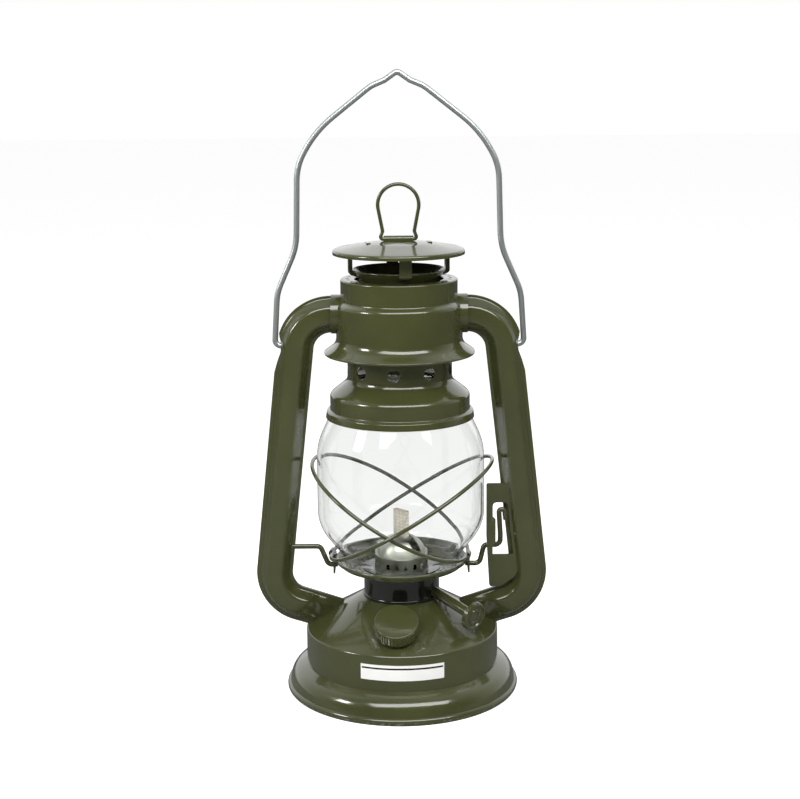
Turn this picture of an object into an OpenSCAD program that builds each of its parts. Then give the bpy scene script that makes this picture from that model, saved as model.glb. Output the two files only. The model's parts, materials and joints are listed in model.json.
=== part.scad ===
// Tubular kerosene lantern with a lifting globe and a wire bail, in millimetres.
// It stands on z = 0 with its axis on +Z, its filler cap towards -Y and its globe lever on the +X side.

/* [Sheet, wire and clearances] */
// Thickness of the pressed sheet
sheet = 0.6; // [0.4:0.1:0.8]
// Gap between pieces that move past each other
run_gap = 0.3; // [0.2:0.05:0.5]
// Radial clearance of a wire in its hole
pin_gap = 0.06; // [0.02:0.01:0.1]
// Gap between pieces that are pressed or set into each other
fit_gap = 0.03; // [0.01:0.01:0.06]

/* [Foot] */
// Outer radius of the foot's rolled edge
foot_r = 60.5; // [57:0.5:64]
// Height of the foot, where the fount's wall stands
foot_h = 14; // [12:0.5:16]
// Diameter of the rolled edge
foot_bead_d = 4; // [3:0.5:5]
// Depth of the flat under the rolled edge
foot_flat = 0.2; // [0.1:0.05:0.4]
// How far the flare's bend stands out from the fount's wall
flare_out = 7.6; // [5:0.2:8]
// How far the flare's bend lies below the top of the foot
flare_drop = 3.6; // [2:0.1:5]
// Width of the ledge inside the foot that carries the fount
foot_ledge = 4; // [3:0.5:6]
// Depth of the fount's pan below that ledge
pan_depth = 4.4; // [3:0.2:5]

/* [Fount] */
// Outer radius of the fount's wall
fount_r = 50; // [47:0.5:53]
// Height of the shoulder where wall and dome meet
shoulder_z = 32.3; // [30:0.1:35]
// Rounding of the shoulder
shoulder_round = 1.5; // [1:0.5:4]
// Radius of the flat on top of the dome
dome_top_r = 20.8; // [20.4:0.1:23]
// Height of the flat on top of the dome
dome_top_z = 49.4; // [48:0.2:53]
// Radius of the hole under the burner
fount_mouth_r = 15; // [13:0.5:17]
// Width of the filling label, measured round the wall
label_w = 42.8; // [30:0.2:50]
// Height of the filling label
label_h = 8; // [6:0.2:10]
// Height of the label's lower edge
label_z = 20; // [18:0.2:22]
// Thickness of the label
label_t = 0.2; // [0.1:0.05:0.4]

/* [Filler] */
// Distance of the filler in from the fount's wall, measured level
filler_in = 14; // [12:0.5:16]
// Turn of the filler from the front about the lamp's axis, in degrees
filler_turn = -4; // [-10:1:10]
// Outer radius of the filler's neck
filler_neck_r = 8.6; // [7.5:0.1:9.4]
// Height of the neck above the dome
filler_neck_h = 6; // [5:0.2:7]
// Length of the neck inside the fount
filler_neck_drop = 3; // [2:0.5:5]
// Radius of the filler cap over its knurls
filler_cap_r = 11.5; // [10.8:0.1:12.5]
// Height of the cap's top above the dome
filler_cap_top = 8.6; // [8.4:0.1:10]
// Gap under the cap's skirt
filler_cap_lift = 0.8; // [0.6:0.1:1.2]
// Height of the smooth band under the knurls
cap_band_h = 2; // [1:0.1:2.6]
// Step from the knurls in to that band
cap_band_step = 1; // [0.6:0.1:1.2]
// Number of knurls round the cap
cap_knurls = 48; // [24:4:60]
// Depth of a knurl
knurl_depth = 0.35; // [0.2:0.05:0.5]
// Thickness of the filler's gasket
gasket_t = 1.2; // [0.8:0.1:1.4]

/* [Burner] */
// Outer radius of the burner's collar
collar_r = 19.6; // [18.8:0.1:20]
// Height of the collar above the dome
collar_h = 15; // [14.6:0.2:16]
// Diameter of the bead round the collar's foot
collar_bead_d = 1.6; // [1:0.1:2]
// Width of the flange that the globe plate rests on
collar_flange = 1.5; // [1:0.1:2]
// Outer radius of the perforated drum
drum_r = 13.8; // [13.5:0.1:15]
// Height of the drum
drum_h = 6.6; // [5.6:0.2:8]
// Number of air holes round the drum
drum_holes = 18; // [12:2:24]
// Diameter of an air hole in the drum
drum_hole_d = 2.4; // [1.6:0.1:3]
// Radius of the flame cone's dome
cone_r = 13; // [12.4:0.1:13.4]
// Height of the flame cone
cone_h = 10.5; // [9:0.5:12]
// Length of the slot in the flame cone
cone_slot_l = 24; // [20:0.5:25]
// Depth of that slot below the cone's top
cone_slot_depth = 8.5; // [6:0.5:9]

/* [Wick and its raiser] */
// Width of the flat wick
wick_w = 9; // [8:0.5:11]
// Thickness of the wick
wick_t = 2.4; // [2:0.1:3]
// Height of the wick's top
wick_top_z = 94.3; // [88:0.5:98]
// Height of the wick's lower end in the fount
wick_low_z = 27; // [26:0.5:34]
// Gap between the wick and its tube on each side
wick_gap = 0.3; // [0.2:0.05:0.5]
// Turn of the wick and its shaft from +X towards the front, in degrees
shaft_turn = 45.8; // [40:0.2:52]
// Downward slope of the shaft, in degrees
shaft_slope = 13; // [12:0.5:14]
// Diameter of the shaft
shaft_d = 2.4; // [2:0.1:2.8]
// Height of the shaft where it passes the wick
shaft_z = 57.4; // [57:0.1:58]
// Outer radius of the toothed feed wheels
wheel_r = 3.4; // [3:0.1:4]
// Teeth on a feed wheel
wheel_teeth = 12; // [8:1:16]
// Thickness of a feed wheel
wheel_t = 1; // [0.8:0.1:1.4]
// Distance between the two feed wheels
wheel_pitch = 6; // [5:0.5:8]
// Diameter of the shaft's sleeve
sleeve_d = 5.4; // [4.6:0.1:6]
// How much shorter than the fount's radius the sleeve's reach along the shaft is
sleeve_in = 5; // [4.5:0.5:8]
// How much shorter than the fount's radius the knob's reach along the shaft is
knob_in = 0.5; // [0:0.5:3]
// Diameter of the knob
knob_d = 15; // [13:0.5:17]
// Thickness of the knob
knob_t = 3.4; // [2.8:0.1:4]

/* [Air tubes] */
// Outer radius of a tube's round body
tube_r = 6.8; // [6.4:0.1:7.4]
// Width of a tube over its two seam flanges
tube_w = 18.7; // [17:0.1:19]
// Thickness of a seam flange
seam_t = 1.6; // [1.2:0.1:2]
// Height of the top run's centre line
tube_top_z = 197; // [195.5:0.5:198]
// Height at which the lower run meets the leaning run
tube_low_z = 48.5; // [47:0.5:50]
// Fall of the lower run towards the fount, in degrees
tube_fall = 18; // [14:0.5:20]
// Distance of a tube's centre line from the globe plate's rim at mid height
tube_out = 30.6; // [28.5:0.1:33]
// Height at which that distance is measured
tube_mid_z = 80; // [75:1:85]
// Lean of the tubes from the vertical, in degrees
tube_lean = 6.35; // [5:0.05:7.5]
// Radius of the upper bend's centre line
top_bend_r = 18.5; // [16:0.5:19]
// Radius of the lower bend's centre line
low_bend_r = 18; // [15:0.5:20]
// Radius of the ferrules where the tubes enter the chamber
ferrule_r = 9.9; // [9.8:0.1:10.6]
// Reach of the ferrules from the lamp's axis
ferrule_reach = 34.4; // [34:0.1:36]

/* [Air chamber] */
// Radius of the chamber's lower cylinder
chamber_r = 32; // [31:0.2:33]
// Radius of the chamber's upper cylinder
chamber_top_r = 29.5; // [28.5:0.1:30.5]
// Height of the step between the two cylinders
chamber_step_z = 202; // [201:0.2:204]
// Height of that step
chamber_step_h = 1.8; // [1.2:0.1:2.4]
// Rounding of the step's outer edge
chamber_step_round = 2.4; // [1:0.1:2.6]
// Height of the chamber's top
chamber_top_z = 215; // [213:0.5:217]
// Radius of the skirt's edge
skirt_r = 38.3; // [37:0.1:40]
// Height of the skirt's edge
skirt_z = 177; // [176:0.2:178]
// Height of the skirt, up to where it meets the cylinder
skirt_h = 5.4; // [4:0.1:6]
// Rounding between the skirt and the cylinder
skirt_sweep = 6; // [3:0.5:7]
// Radius of the hole in the chamber's top
chamber_mouth_r = 22.4; // [21.6:0.1:24]
// Height of the lid's edge on the upper cylinder
lid_h = 1.6; // [1.2:0.1:2.4]
// Rounding of the lid's edge
lid_round = 1.2; // [0.6:0.1:1.4]
// Depth of the lip round the hole
mouth_lip = 1.4; // [0.8:0.1:1.8]
// Number of holes in the chamber's top
chamber_holes = 28; // [16:2:36]
// Diameter of those holes
chamber_hole_d = 1.8; // [1.2:0.1:2.2]

/* [Globe carriage] */
// Radius of the globe plate at its rolled rim
plate_r = 33.5; // [30:0.1:37]
// Height of the rim
plate_rim_z = 68.3; // [67.5:0.1:70]
// Diameter of the rolled rim
plate_bead_d = 1.8; // [1.4:0.1:2.2]
// Height of the plate's floor above the dome's flat
plate_rise = 13.9; // [13.4:0.1:14.4]
// Width of the plate's raised border, from its rim to where its floor turns up
border_w = 7.1; // [6.6:0.1:8]
// Height of the ledge that carries the glass above the plate's floor
ledge_rise = 2.1; // [1.6:0.1:2.6]
// Distance of that ledge's outer edge from the rim
ledge_in = 1.9; // [1.5:0.1:2.5]
// Width of that ledge
ledge_w = 3.8; // [3.4:0.1:4.2]
// Number of air holes in each ring of the plate's floor
plate_holes = 30; // [20:2:36]
// Diameter of an air hole in the plate
plate_hole_d = 1.6; // [1.2:0.1:1.8]
// Thickness of the glass
glass_t = 1.5; // [1.2:0.1:2]
// Distance of the glass's foot in from the ledge's outer edge
glass_in = 1.6; // [1.2:0.1:2]
// Height of the glass's upright foot
glass_foot_h = 5; // [4:0.5:6]
// How far the glass swells out beyond its foot
glass_swell = 13; // [11:0.2:13.6]
// Radius of the glass at its mouth
glass_mouth_r = 30.2; // [29.6:0.1:31]
// Height of the lower shoulder above the seat
glass_low_shoulder = 22; // [20:0.5:26]
// Height of the upper shoulder above the seat
glass_high_shoulder = 64; // [58:0.5:68]
// Distance of the inner guard ring's centre line from the glass; the outer ring lies round it where they cross
guard_clear = 3.8; // [3.5:0.1:4.4]
// Diameter of the guard's wire
guard_wire_d = 2; // [1.8:0.1:2.2]
// Tilt of the guard rings, in degrees
guard_tilt = 31.5; // [30:0.5:33]
// Distance of the inner guard ring's low end out from the plate's rim
clip_out = 1; // [0.8:0.1:1.4]
// Gap between a guard clip and the bead of the plate's rim
clip_gap = 0.1; // [0.1:0.05:0.7]
// Wall of a guard clip
clip_wall = 0.7; // [0.6:0.1:0.9]
// Turn of the whole guard about the lamp's axis, in degrees
guard_turn = -8; // [-12:0.5:-4]
// Length of the clips that hold the guard
clip_l = 5; // [4:0.5:6]

/* [Globe lever] */
// Diameter of the lifting wire
lift_wire_d = 2.6; // [2.2:0.1:2.8]
// Height of the lever's turning axis
lift_axis_z = 74.9; // [74:0.1:76]
// Throw of the cranks below that axis
crank_throw = 9.9; // [9:0.1:10.5]
// Angle through which the lever turns, in degrees
lift_angle = 80; // [60:5:85]
// Distance of the crank's bend out from the plate's rim
crank_out = 6.2; // [5.2:0.1:7]
// Sideways step of the crank between the plate and the axis
crank_step = 2.4; // [2:0.1:3]
// Radius of the crank's bend on the axis
crank_bend_r = 2; // [1.6:0.1:2.4]
// Thickness of the plate's ears for the cranks
ear_t = 0.9; // [0.7:0.1:1.2]
// Wall of an ear round its slot
ear_wall = 0.9; // [0.8:0.1:1.4]
// Thickness of the lever plate
lever_plate_t = 1; // [0.8:0.1:1.4]
// Distance of the lever plate in front of the lever's axis
lever_plate_y = 3.2; // [2.8:0.1:3.6]
// Distance of the lever plate's edge out from the crank's bend
lever_plate_out = 3.4; // [2.8:0.1:3.8]
// Height of the lever plate's lower edge
lever_plate_low = 53.5; // [52.5:0.5:56]
// Height of the lever plate's upper edge
lever_plate_high = 109; // [104:0.5:112]
// Height of the lever's hook above its axis
lever_h = 22.6; // [18:0.2:24]
// Forward lean of the lever at rest, in degrees
lever_lean = 15; // [12:1:18]
// Distance of the lever from the lever plate's edge
lever_in = 7.4; // [7:0.1:7.8]
// Radius of the lever's bend on the axis
lever_bend_r = 3; // [2.6:0.1:3.4]
// Radius of the lever's hook
hook_r = 1.5; // [1.4:0.1:1.8]
// Length of the hook's end
hook_l = 4.5; // [3:0.5:6]
// Width of the lever plate beside its slot
slot_in = 3.3; // [2.8:0.1:3.6]
// Width of the strip between the slot and the tube
strip_w = 1.4; // [1.2:0.1:1.8]
// Depth of the slot's step
tooth_w = 1.5; // [1:0.1:1.8]

/* [Chimney and hood] */
// Outer radius of the hood's neck
hood_neck_r = 26.6; // [26:0.1:27.2]
// Height of the hood's lower edge
hood_rim_z = 144.4; // [143:0.2:145.6]
// Radius of the hood's lower edge
hood_rim_r = 37.9; // [37.6:0.1:39]
// Radius of the hood's upright band
hood_band_r = 35.6; // [35:0.1:36.4]
// Height of the band's lower end
hood_band_low = 148.6; // [147.6:0.1:149.4]
// Height of the band's upper end
hood_band_high = 156.4; // [155:0.2:158]
// Height at which the cone meets the neck
hood_cone_top = 163.6; // [162:0.2:166]
// Rounding of the hood between band and cone
hood_round = 3; // [1:0.5:4]
// Rounding of the hood between cone and neck
hood_sweep = 4.5; // [2:0.5:6]
// Height of the neck's top
hood_neck_top = 188; // [186:0.5:190]
// Number of draught holes in the neck
neck_holes = 9; // [6:1:10]
// Diameter of a draught hole
neck_hole_d = 6.3; // [5:0.1:6.5]
// Height of the draught holes
neck_hole_z = 169.8; // [169:0.1:171]
// Turn of the draught holes from the front, in degrees
neck_hole_turn = -6.3; // [-15:0.1:15]
// Outer radius of the chimney
chimney_r = 20.3; // [19.6:0.1:21]
// Wire diameter of the hood's spring
spring_wire_d = 1.4; // [1.2:0.1:1.6]
// Turns of the hood's spring
spring_turns = 4; // [3:1:5]

/* [Crown and cap] */
// Height of the crown's rim
crown_rim_z = 219.4; // [218.6:0.1:221]
// Radius of the crown's rim
crown_rim_r = 23.6; // [23:0.1:24]
// Radius at which the legs stand under the cap
leg_r = 25.6; // [25.4:0.1:27]
// Width of a leg, in degrees round the axis
leg_angle = 14; // [8:1:16]
// Thickness of a leg
leg_t = 1.8; // [1:0.1:2.2]
// Turn of the legs from the axes, in degrees
leg_turn = 7.5; // [0:0.5:15]
// Radius of the cap
cap_r = 33.2; // [31:0.2:36]
// Height of the cap's lower edge
cap_edge_z = 227.4; // [226:0.2:228.4]
// Height of the cap's lip
cap_lip_h = 2.2; // [1.6:0.1:2.8]
// Height of the cap's centre
cap_top_z = 233.6; // [232:0.2:235]
// Rise of the cap's middle above its tabs
cap_crown = 0.8; // [0.6:0.1:1.2]
// Distance of the tabs on the cap from its centre
tab_r = 15.5; // [13:0.5:18]
// Width of a tab
tab_w = 6; // [5:0.2:7]
// Length of a tab, away from the centre
tab_l = 2.2; // [1.8:0.1:2.6]
// Height of a tab, half of it below the cap's sheet
tab_h = 0.9; // [0.7:0.1:1.2]

/* [Lift ring and bail] */
// Diameter of the lift ring's wire
ring_wire_d = 1.8; // [1.5:0.1:2]
// Half width of the lift ring
ring_half_w = 10.5; // [9:0.1:12]
// Half width of the lift ring's neck
ring_neck = 7.9; // [7:0.1:8.4]
// Height of the lift ring above its axis
ring_h = 27.3; // [24:0.1:32]
// Length of the lug that holds the ring
lug_l = 15; // [14:0.2:15.4]
// Wall of the lug round the ring's wire
lug_wall = 0.8; // [0.6:0.1:1]
// Diameter of the bail's wire
bail_d = 2.9; // [2.4:0.1:3.2]
// Distance of the bail's feet out from the tubes
bail_out = 3.44; // [3.2:0.02:4]
// Radius of the hollows in the tubes' seams beside the bail's feet
notch_r = 15.4; // [14:0.2:17]
// Height of the bail's pivots
bail_z = 181; // [179.5:0.5:182]
// Half width of the bail at its waist
bail_waist_x = 50.2; // [47:0.2:54]
// Height of the bail's apex above its pivots
bail_h = 135.4; // [125:0.2:145]

/* [Hidden] */
$fn = 96;

olive = "#45482b";
olive_lit = "#4e5131";
black_enamel = "#191b16";
tinplate = "#7f8375";
galvanised = "#8d9894";
far = 400;
bend_lap = 0.1;
bend_swell = 0.02;

// Dome of the fount
dome_slope = atan((dome_top_z - shoulder_z) / (fount_r - dome_top_r));
function dome_z(r) = dome_top_z - (r - dome_top_r) * tan(dome_slope);

// Burner heights and the places that follow from them
collar_top_z = dome_top_z + collar_h;
drum_top_z = collar_top_z + drum_h;
cone_top_z = drum_top_z + cone_h;
wick_tube_w = wick_w + 2 * wick_gap + 2 * sheet;
wick_tube_t = wick_t + 2 * wick_gap + 2 * sheet;
filler_dist = fount_r - filler_in;
knob_reach = fount_r - knob_in;
sleeve_reach = fount_r - sleeve_in;
shaft_off = wick_t / 2 + run_gap + wheel_r;
shaft_r = shaft_d / 2;
sleeve_r = sleeve_d / 2;
drum_seat_r = drum_r - 1.2;
drum_mouth_r = shaft_off + wheel_r + 1.6;

// Globe carriage
plate_z = dome_top_z + plate_rise;
plate_floor_r = plate_r - border_w;
ledge_out_r = plate_r - ledge_in;
ledge_in_r = ledge_out_r - ledge_w;
glass_foot_r = ledge_out_r - glass_in;
glass_r = glass_foot_r + glass_swell;
guard_r = glass_r + guard_clear;
guard_off = guard_r * cos(guard_tilt) - plate_r - clip_out;
clip_bore = guard_wire_d / 2 + 0.2;
clip_h = plate_bead_d / 2 + clip_gap + clip_wall + clip_bore;
guard_z = plate_rim_z + clip_h + guard_r * sin(guard_tilt);
plate_hole_r = collar_r + run_gap;
glass_z = plate_z + ledge_rise + sheet + fit_gap;
function guard_ring_r(i) = guard_r + i * (guard_wire_d + fit_gap);
function guard_low_x(i) = guard_ring_r(i) * cos(guard_tilt) - guard_off;
function guard_low_z(i) = guard_z - guard_ring_r(i) * sin(guard_tilt);

// Globe lever: the plate rises in step with the lever, so its ears are slotted for the crank's arc
lift_wire_r = lift_wire_d / 2;
crank_low_z = lift_axis_z - crank_throw;
crank_end_x = plate_r + plate_bead_d / 2 - 1.2;
ear_x = plate_r + plate_bead_d / 2 + 0.2;
crank_x = plate_r + plate_bead_d / 2 + crank_out;
lever_plate_x = crank_x + lever_plate_out;
lever_x = lever_plate_x + lever_in;
lift_travel = crank_throw * (1 - cos(lift_angle));
lift_ratio = lift_travel / lift_angle;
crank_swing = crank_throw * sin(lift_angle);
crank_sag = max([for (a = [0:5:lift_angle]) lift_ratio * a - crank_throw * (1 - cos(a))]);
eye_r = lift_wire_r + pin_gap + 0.9;

// Tubes: corners of the centre line on the +X side
tube_bore_r = tube_r - sheet;
tube_mid_x = plate_r + tube_out;
function tube_x(z) = tube_mid_x + (tube_mid_z - z) * tan(tube_lean);
tube_start_x = chamber_top_r - sheet;
tube_end_x = dome_top_r + 9;
tube_route = [
  [tube_start_x, tube_top_z, 0],
  [tube_x(tube_top_z), tube_top_z, top_bend_r],
  [tube_x(tube_low_z), tube_low_z, low_bend_r],
  [tube_end_x, tube_low_z - (tube_x(tube_low_z) - tube_end_x) * tan(tube_fall), 0]
];

// Hood, chimney, crown and cap
hood_slope = atan((hood_cone_top - hood_band_high) / (hood_band_r - hood_neck_r));
function hood_cone_z(r) = hood_band_high + (hood_band_r - r) * tan(hood_slope);
glass_top_z = hood_cone_z(glass_mouth_r) - sheet / cos(hood_slope) - run_gap;
spring_r = (chamber_mouth_r + sheet + run_gap + hood_neck_r) / 2;
leg_low_z = chamber_top_z + 0.8;
lug_r = ring_wire_d / 2 + pin_gap + lug_wall;
ring_axis_z = cap_top_z + ring_wire_d / 2 + 0.1;

// Bail
bail_stub_x = tube_x(bail_z) + tube_r - 4;
bail_foot_x = tube_x(bail_z) + tube_r + bail_out;

// Geometry helpers
function xy(p) = [p[0], p[1]];
function unit(v) = v / norm(v);
function left_of(v) = [-v[1], v[0]];
function backwards(p) = [for (i = [len(p) - 1:-1:0]) p[i]];

// The turn at corner b of a path a, b, c in degrees, positive to the left
function turn_at(a, b, c) =
  let (u = b - a, v = c - b) atan2(u[0] * v[1] - u[1] * v[0], u[0] * v[0] + u[1] * v[1]);

// Largest rounding that the two runs beside a corner leave room for
function fit_round(a, b, c, r) =
  let (room = 0.49 * min(norm(b - a), norm(c - b))) min(r, room / tan(abs(turn_at(a, b, c)) / 2));

// Points of the arc that rounds corner b with radius r
function corner_arc(a, b, c, r, n = 8) =
  let (
    turn = turn_at(a, b, c),
    rr = fit_round(a, b, c, r),
    start = b - unit(b - a) * rr * tan(abs(turn) / 2),
    side = turn > 0 ? 1 : -1,
    centre = start + side * rr * left_of(unit(b - a))
  )
  [for (i = [0:n])
    let (w = turn * i / n, d = start - centre)
    centre + [d[0] * cos(w) - d[1] * sin(w), d[0] * sin(w) + d[1] * cos(w)]];

// A path of corners [x, y, rounding] with each corner rounded
function rounded(c) = [
  for (i = [0:len(c) - 1]) each
    (i == 0 || i == len(c) - 1 || c[i][2] == 0)
    ? [xy(c[i])]
    : corner_arc(xy(c[i - 1]), xy(c[i]), xy(c[i + 1]), c[i][2])
];

// A path moved t to its left
function beside(p, t) = [
  for (i = [0:len(p) - 1])
    let (
      before = left_of(unit(p[max(i, 1)] - p[max(i, 1) - 1])),
      after = left_of(unit(p[min(i, len(p) - 2) + 1] - p[min(i, len(p) - 2)]))
    )
    p[i] + t * (before + after) / (1 + before * after)
];

// A sheet pressed round the lamp's axis, with its thickness to the left of the path
module turned_sheet(path, t = sheet) {
  rotate_extrude() polygon(concat(path, backwards(beside(path, t))));
}

// The solid that such a path encloses with the axis
module turned_solid(path) {
  last = len(path) - 1;
  rotate_extrude() polygon(concat(path, [[0, path[last][1]], [0, path[0][1]]]));
}

// A ring of round section
module wire_ring(r, d) {
  rotate_extrude() translate([r, 0]) circle(d = d, $fn = 32);
}

// Runs and bends of a route of corners [x, y, bend radius]: [run, bend radius, turn]
function bends(c) = [
  for (i = [0:len(c) - 2])
    let (
      a = xy(c[i]),
      b = xy(c[i + 1]),
      from = i == 0 ? 0 : c[i][2] * tan(abs(turn_at(xy(c[i - 1]), a, b)) / 2),
      turn = i == len(c) - 2 ? 0 : turn_at(a, b, xy(c[i + 2])),
      to = c[i + 1][2] * tan(abs(turn) / 2)
    )
    [norm(b - a) - from - to, c[i + 1][2], turn, 0]
];

// Part of a ring that starts upwards and bends towards +X
module bend(r, turn) {
  translate([r, 0, 0]) rotate([90, 0, 180]) rotate_extrude(angle = turn) translate([r, 0]) children();
}

// Carries its children to the end of such a bend
module after_bend(r, turn) {
  translate([r * (1 - cos(turn)), 0, r * sin(turn)]) rotate([0, turn, 0]) children();
}

// A section swept up from the origin along moves [run, bend radius, turn, roll before the bend].
// A bend is a hair thicker than the runs that lap into it.
module swept(moves, i = 0) {
  run = moves[i][0];
  r = moves[i][1];
  turn = moves[i][2];
  side = turn > 0 ? 180 : 0;
  lap_in = i == 0 ? 0 : bend_lap;
  lap_out = turn == 0 ? 0 : bend_lap;
  translate([0, 0, -lap_in]) linear_extrude(run + lap_in + lap_out, $grow = 0) children();
  if (turn != 0)
    translate([0, 0, run]) rotate([0, 0, side + moves[i][3]]) {
      bend(r, abs(turn), $grow = bend_swell) children();
      after_bend(r, abs(turn)) rotate([0, 0, -side]) swept(moves, i + 1) children();
    }
}

// A section swept along a route in the XZ plane, with more moves after it if there are any
module along_route(route, more = []) {
  first = route[1] - route[0];
  translate([route[0][0], 0, route[0][1]])
    rotate([0, 90 - atan2(first[1], first[0]), 0])
      swept(concat(bends(route), more)) children();
}

module round_section(d) {
  circle(d = d + 2 * $grow, $fn = 48);
}

module flat_section(w, t) {
  square([w + 2 * $grow, t + 2 * $grow], center = true);
}

// A round wire along a route in the XZ plane
module wire(route, d) {
  along_route(route) round_section(d);
}

// The route on +X followed by its mirror image on -X
function both_sides(route) = concat(route, [for (p = backwards(route)) [-p[0], p[1], p[2]]]);

// Places on the dome, on the wick's shaft and across the wick
module on_filler_axis() {
  rotate([0, 0, filler_turn]) translate([0, -filler_dist, dome_z(filler_dist)])
    rotate([dome_slope, 0, 0]) children();
}

module on_shaft_axis() {
  rotate([0, 0, -shaft_turn]) translate([0, shaft_off, shaft_z]) rotate([0, 90 + shaft_slope, 0]) children();
}

module across_wick() {
  rotate([0, 0, -shaft_turn]) children();
}

// Foot and fount
foot_line = rounded([
  [foot_r - foot_bead_d / 2 + 0.9, foot_bead_d / 2, 0],
  [fount_r + flare_out, foot_h - flare_drop, 20],
  [fount_r, foot_h, 0.8],
  [fount_r - foot_ledge, foot_h, 0]
]);

module fount_foot() {
  color(olive_lit) difference() {
    rotate_extrude() {
      polygon(concat(foot_line, backwards(beside(foot_line, sheet))));
      translate([foot_r - foot_bead_d / 2, foot_bead_d / 2 - foot_flat]) circle(d = foot_bead_d, $fn = 48);
    }
    translate([0, 0, -foot_bead_d]) cylinder(r = foot_r + foot_bead_d, h = foot_bead_d);
  }
}

pan_line = rounded([
  [fount_r - 2 * sheet, foot_h - sheet, 0],
  [fount_r - foot_ledge, foot_h - sheet, 0.8],
  [fount_r - foot_ledge - 2, foot_h - sheet - pan_depth, 1.5],
  [0, foot_h - sheet - pan_depth, 0]
]);

module fount_bottom() {
  color(olive) turned_sheet(pan_line);
}

fount_line = rounded([
  [fount_r, foot_h, 0],
  [fount_r, shoulder_z, shoulder_round],
  [dome_top_r, dome_top_z, 1],
  [fount_mouth_r, dome_top_z, 0]
]);

module fount_shell() {
  color(olive_lit) difference() {
    turned_sheet(fount_line);
    on_filler_axis() translate([0, 0, -filler_neck_drop]) cylinder(r = filler_neck_r + fit_gap, h = filler_neck_h);
  }
}

module fill_label() {
  angle = label_w / fount_r * 180 / PI;
  color("white") rotate([0, 0, -90 - angle / 2])
    rotate_extrude(angle = angle) translate([fount_r, label_z]) square([label_t, label_h]);
}

// Filler
module filler_neck() {
  color(tinplate) on_filler_axis() difference() {
    translate([0, 0, -filler_neck_drop]) cylinder(r = filler_neck_r, h = filler_neck_drop + filler_neck_h);
    translate([0, 0, -filler_neck_drop - 1]) cylinder(r = filler_neck_r - 2 * sheet, h = far);
  }
}

gasket_z = filler_neck_h + fit_gap;
cap_ceiling = gasket_z + gasket_t + fit_gap;
cap_bore_r = filler_neck_r + run_gap;

module filler_gasket() {
  color("dimgray") on_filler_axis() translate([0, 0, gasket_z]) difference() {
    cylinder(r = cap_bore_r - fit_gap, h = gasket_t);
    translate([0, 0, -1]) cylinder(r = filler_neck_r - 4 * sheet, h = gasket_t + 2);
  }
}

module filler_cap() {
  knurl_top = filler_cap_top - 1;
  knurl_low = filler_cap_lift + cap_band_h;
  band_r = filler_cap_r - cap_band_step;
  top_r = filler_cap_r - knurl_depth - 0.1;
  top_line = rounded([[top_r, knurl_top, 0], [top_r, filler_cap_top, 0.8], [0, filler_cap_top, 0]]);
  rim = [for (i = [0:2 * cap_knurls - 1])
    let (r = filler_cap_r - (i % 2) * knurl_depth, a = i * 180 / cap_knurls) r * [cos(a), sin(a)]];
  color(olive) on_filler_axis() difference() {
    union() {
      translate([0, 0, filler_cap_lift]) cylinder(r = band_r, h = cap_band_h);
      translate([0, 0, knurl_low]) linear_extrude(knurl_top - knurl_low) polygon(rim);
      turned_solid(top_line);
    }
    cylinder(r = cap_bore_r, h = cap_ceiling);
  }
}

// Burner
module burner_collar() {
  wall = 0.8;
  color(black_enamel) difference() {
    rotate_extrude() {
      translate([0, dome_top_z]) square([collar_r, sheet]);
      translate([collar_r - wall, dome_top_z]) square([wall, collar_h]);
      translate([collar_r - wall / 2, dome_top_z + collar_bead_d / 2]) circle(d = collar_bead_d, $fn = 32);
      translate([drum_seat_r, collar_top_z - sheet]) square([collar_r - drum_seat_r, sheet]);
      translate([collar_r - wall, plate_z - run_gap - sheet]) square([collar_flange + wall, sheet]);
    }
    on_shaft_axis() cylinder(r = sleeve_r + fit_gap, h = far);
    wick_slot(dome_top_z);
  }
}

// The hole that the wick's tube passes through in a sheet at height z
module wick_slot(z) {
  across_wick() translate([-wick_tube_w / 2 - fit_gap, -wick_tube_t / 2 - fit_gap, z - sheet])
    cube([wick_tube_w + 2 * fit_gap, wick_tube_t + 2 * fit_gap, 3 * sheet]);
}

module burner_drum() {
  color(tinplate) difference() {
    translate([0, 0, collar_top_z]) cylinder(r = drum_r, h = drum_h);
    translate([0, 0, collar_top_z + sheet]) cylinder(r = drum_r - sheet, h = drum_h);
    translate([0, 0, collar_top_z - 1]) cylinder(r = drum_mouth_r, h = 4);
    for (i = [0:drum_holes - 1])
      rotate([0, 0, i * 360 / drum_holes]) translate([drum_r - 2, 0, collar_top_z + drum_h / 2])
        rotate([0, 90, 0]) cylinder(d = drum_hole_d, h = 4);
  }
}

module flame_cone() {
  slot_w = wick_tube_t + 1;
  ball_z = cone_top_z - cone_r;
  color(tinplate) difference() {
    union() {
      translate([0, 0, ball_z]) sphere(r = cone_r);
      translate([0, 0, drum_top_z]) cylinder(r = drum_r, h = sheet);
    }
    translate([0, 0, ball_z]) sphere(r = cone_r - sheet);
    translate([0, 0, drum_top_z - far]) cylinder(r = far, h = far);
    across_wick() translate([-cone_slot_l / 2, -slot_w / 2, cone_top_z - cone_slot_depth])
      cube([cone_slot_l, slot_w, far]);
  }
}

module wick_tube() {
  low = dome_top_z - 6;
  top = cone_top_z - 1.5;
  window = 2 * wheel_r + 1;
  window_l = wheel_pitch + wheel_t + 1.4;
  color(tinplate) across_wick() difference() {
    translate([-wick_tube_w / 2, -wick_tube_t / 2, low]) cube([wick_tube_w, wick_tube_t, top - low]);
    translate([-wick_w / 2 - wick_gap, -wick_t / 2 - wick_gap, low - 1])
      cube([wick_w + 2 * wick_gap, wick_t + 2 * wick_gap, far]);
    translate([-window_l / 2, 0, shaft_z - window / 2]) cube([window_l, wick_tube_t, window]);
  }
}

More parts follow.
